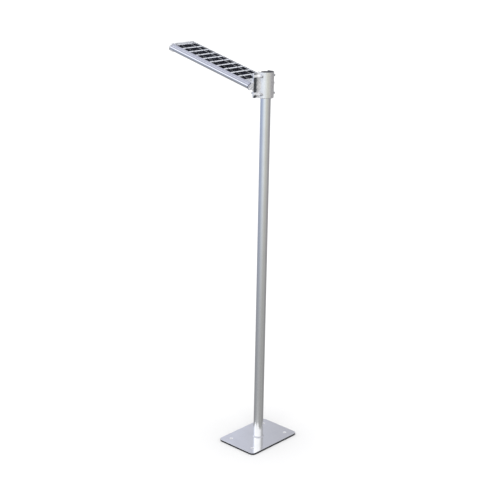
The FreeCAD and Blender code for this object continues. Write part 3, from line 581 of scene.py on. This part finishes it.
# painted shadow: the paper is greyer where the plate stands, a soft contact shadow put into the floor's colour
ftc = add(nt, "ShaderNodeTexCoord")
fsep = add(nt, "ShaderNodeSeparateXYZ")
nt.links.new(ftc.outputs["Object"], fsep.inputs[0])
fr = math_n(nt, "SQRT", math_n(nt, "ADD", math_n(nt, "MULTIPLY", fsep.outputs["X"], fsep.outputs["X"]),
                               math_n(nt, "MULTIPLY", fsep.outputs["Y"], fsep.outputs["Y"])), 0.0)
nt.links.new(mixcol(nt, rng(nt, fr, 0, 1, 0.16, 0.74), (0.795, 0.795, 0.80), paper), p.inputs["Base Color"])
p.inputs["Roughness"].default_value = 0.9
p.inputs["Specular IOR Level"].default_value = 0.0
me.materials.append(fm)
floor.visible_glossy = False
floor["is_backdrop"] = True

# camera
F = 1136.855
az, pi_, ro = (math.radians(v) for v in (132.455, 17.668, 1.086))
dist, tx, tz = 6.8072, -0.07308, 1.2394
back = Vector((math.sin(az) * math.cos(pi_), -math.cos(az) * math.cos(pi_), math.sin(pi_)))
right = Vector((math.cos(az), math.sin(az), 0.0))
up = back.cross(right)
R = right * math.cos(ro) + up * math.sin(ro)
U = -right * math.sin(ro) + up * math.cos(ro)
C = right * tx + Vector((0, 0, tz)) + back * dist
cam = bpy.data.cameras.new("camera")
cam_ob = bpy.data.objects.new("camera", cam)
scene.collection.objects.link(cam_ob)
cam.sensor_width = 36.0
cam.lens = F * 36.0 / 500.0
cam.clip_end = 300.0
cam.shift_x = 0.0
cam.shift_y = 0.0
cam_ob.matrix_world = Matrix(((R.x, U.x, back.x, C.x), (R.y, U.y, back.y, C.y), (R.z, U.z, back.z, C.z), (0, 0, 0, 1)))
scene.camera = cam_ob

# light: one soft sun, an even white room for diffuse light, and a studio of soft boxes and
# grey flags that only mirror-like surfaces pick up
sun = bpy.data.lights.new("sun", "SUN")
sun.energy = 0.75
sun.angle = math.radians(28)
sun_ob = bpy.data.objects.new("sun", sun)
scene.collection.objects.link(sun_ob)
sun_ob.rotation_euler = Vector((0.45, 0.30, 1.0)).to_track_quat("Z", "Y").to_euler()
sun_ob.visible_glossy = False
scene.view_settings.view_transform = "Standard"
scene.view_settings.look = "None"
scene.view_settings.exposure = 0.0
scene.view_settings.gamma = 1.0


def lin(r, g, b):
    f = lambda c: (c / 255.0 / 12.92) if c / 255.0 <= 0.04045 else ((c / 255.0 + 0.055) / 1.055) ** 2.4
    return (f(r), f(g), f(b), 1.0)


def ramp(nt, fac, stops):
    r = add(nt, "ShaderNodeValToRGB")
    cr = r.color_ramp
    cr.interpolation = "LINEAR"
    while len(cr.elements) > 1:
        cr.elements.remove(cr.elements[-1])
    first = True
    for deg, col in stops:
        pos = (deg + 180.0) / 360.0
        if first:
            e = cr.elements[0]
            e.position = pos
            first = False
        else:
            e = cr.elements.new(pos)
        e.color = col
    nt.links.new(fac, r.inputs["Fac"])
    return r.outputs["Color"]


world = bpy.data.worlds.new("studio")
scene.world = world
world.use_nodes = True
nt = world.node_tree
for n in list(nt.nodes):
    nt.nodes.remove(n)
out = add(nt, "ShaderNodeOutputWorld")
tc = add(nt, "ShaderNodeTexCoord")
sep = add(nt, "ShaderNodeSeparateXYZ")
nt.links.new(tc.outputs["Generated"], sep.inputs[0])
X, Y, Z = sep.outputs
VA = math.radians(42.455)                     # the side of the room that faces the camera
cb = math_n(nt, "ADD", math_n(nt, "MULTIPLY", X, math.cos(VA)), math_n(nt, "MULTIPLY", Y, math.sin(VA)))
sb = math_n(nt, "ADD", math_n(nt, "MULTIPLY", X, -math.sin(VA)), math_n(nt, "MULTIPLY", Y, math.cos(VA)))
beta = math_n(nt, "ARCTAN2", sb, cb)          # turns to the right of the camera side
bf = math_n(nt, "ADD", math_n(nt, "DIVIDE", beta, 2 * math.pi), 0.5)
el = math_n(nt, "MULTIPLY", math_n(nt, "ARCSINE", Z, 0.0), 180.0 / math.pi)

level = ramp(nt, bf, [(-180, lin(165, 172, 190)), (-115, lin(166, 176, 198)), (-84, lin(166, 177, 204)), (-56, lin(192, 204, 220)),
                      (-32, lin(224, 232, 240)), (-10, lin(228, 234, 236)), (12, lin(216, 217, 210)), (36, lin(194, 194, 186)),
                      (62, lin(184, 183, 181)), (84, lin(156, 154, 156)), (130, lin(150, 149, 150)), (180, lin(152, 154, 160))])
low = ramp(nt, bf, [(-180, lin(150, 151, 152)), (-90, lin(146, 147, 149)), (-40, lin(156, 157, 158)), (0, lin(158, 158, 158)),
                    (40, lin(152, 152, 151)), (60, lin(160, 160, 158)), (84, lin(144, 144, 143)), (180, lin(146, 146, 147))])
down = ramp(nt, bf, [(-180, lin(118, 120, 126)), (-90, lin(104, 107, 118)), (0, lin(136, 136, 138)), (90, lin(116, 116, 118)), (180, lin(118, 120, 126))])
high = ramp(nt, bf, [(-180, lin(206, 209, 223)), (-172, lin(202, 205, 220)), (-130, lin(215, 220, 234)), (-85, lin(284, 286, 290)), (-45, lin(268, 269, 270)), (25, lin(266, 266, 266)),
                     (60, lin(235, 235, 236)), (90, lin(180, 181, 184)), (150, lin(171, 171, 176)), (174, lin(173, 174, 179)), (180, lin(192, 194, 204))])
zenith = lin(180, 183, 200)


def step(v, a, b):
    m = add(nt, "ShaderNodeMapRange")
    m.interpolation_type = "SMOOTHSTEP"
    m.inputs["From Min"].default_value = a
    m.inputs["From Max"].default_value = b
    nt.links.new(v, m.inputs["Value"])
    return m.outputs["Result"]


c = mixcol(nt, step(el, -48.0, -28.0), down, low)
c = mixcol(nt, step(el, -24.5, -9.0), c, level)
c = mixcol(nt, step(el, 3.0, 20.0), c, high)
c = mixcol(nt, step(el, 33.0, 52.0), c, zenith)
# a low white strip light on the left of the camera side, which the pole's foot picks up as a wedge
wid = math_n(nt, "MULTIPLY", math_n(nt, "ADD", el, 25.9), -26.0)
off = math_n(nt, "ABSOLUTE", math_n(nt, "ADD", math_n(nt, "MULTIPLY", beta, 180.0 / math.pi), 30.0))
wedge = step(math_n(nt, "SUBTRACT", wid, off), -4.0, 16.0)
wedge = math_n(nt, "MULTIPLY", math_n(nt, "MULTIPLY", wedge, 0.43), step(el, -31.0, -29.0))
c = mixcol(nt, wedge, c, lin(252, 253, 255))
lp = add(nt, "ShaderNodeLightPath")
bg_room = add(nt, "ShaderNodeBackground")
bg_room.inputs["Color"].default_value = (1.0, 1.0, 1.0, 1)
bg_room.inputs["Strength"].default_value = 1.0
bg_gl = add(nt, "ShaderNodeBackground")
nt.links.new(c, bg_gl.inputs["Color"])
bg_gl.inputs["Strength"].default_value = 1.05
mx = add(nt, "ShaderNodeMixShader")
nt.links.new(lp.outputs["Is Glossy Ray"], mx.inputs[0])
nt.links.new(bg_room.outputs[0], mx.inputs[1])
nt.links.new(bg_gl.outputs[0], mx.inputs[2])
nt.links.new(mx.outputs[0], out.inputs["Surface"])

b2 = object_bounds()


def plain(v):
    if isinstance(v, dict):
        return {k: plain(x) for k, x in v.items()}
    if isinstance(v, (int, float)):
        return float(v)
    return [plain(x) for x in list(v)]


{"cad": plain(CAD_BOX), "visual": plain(b2)}
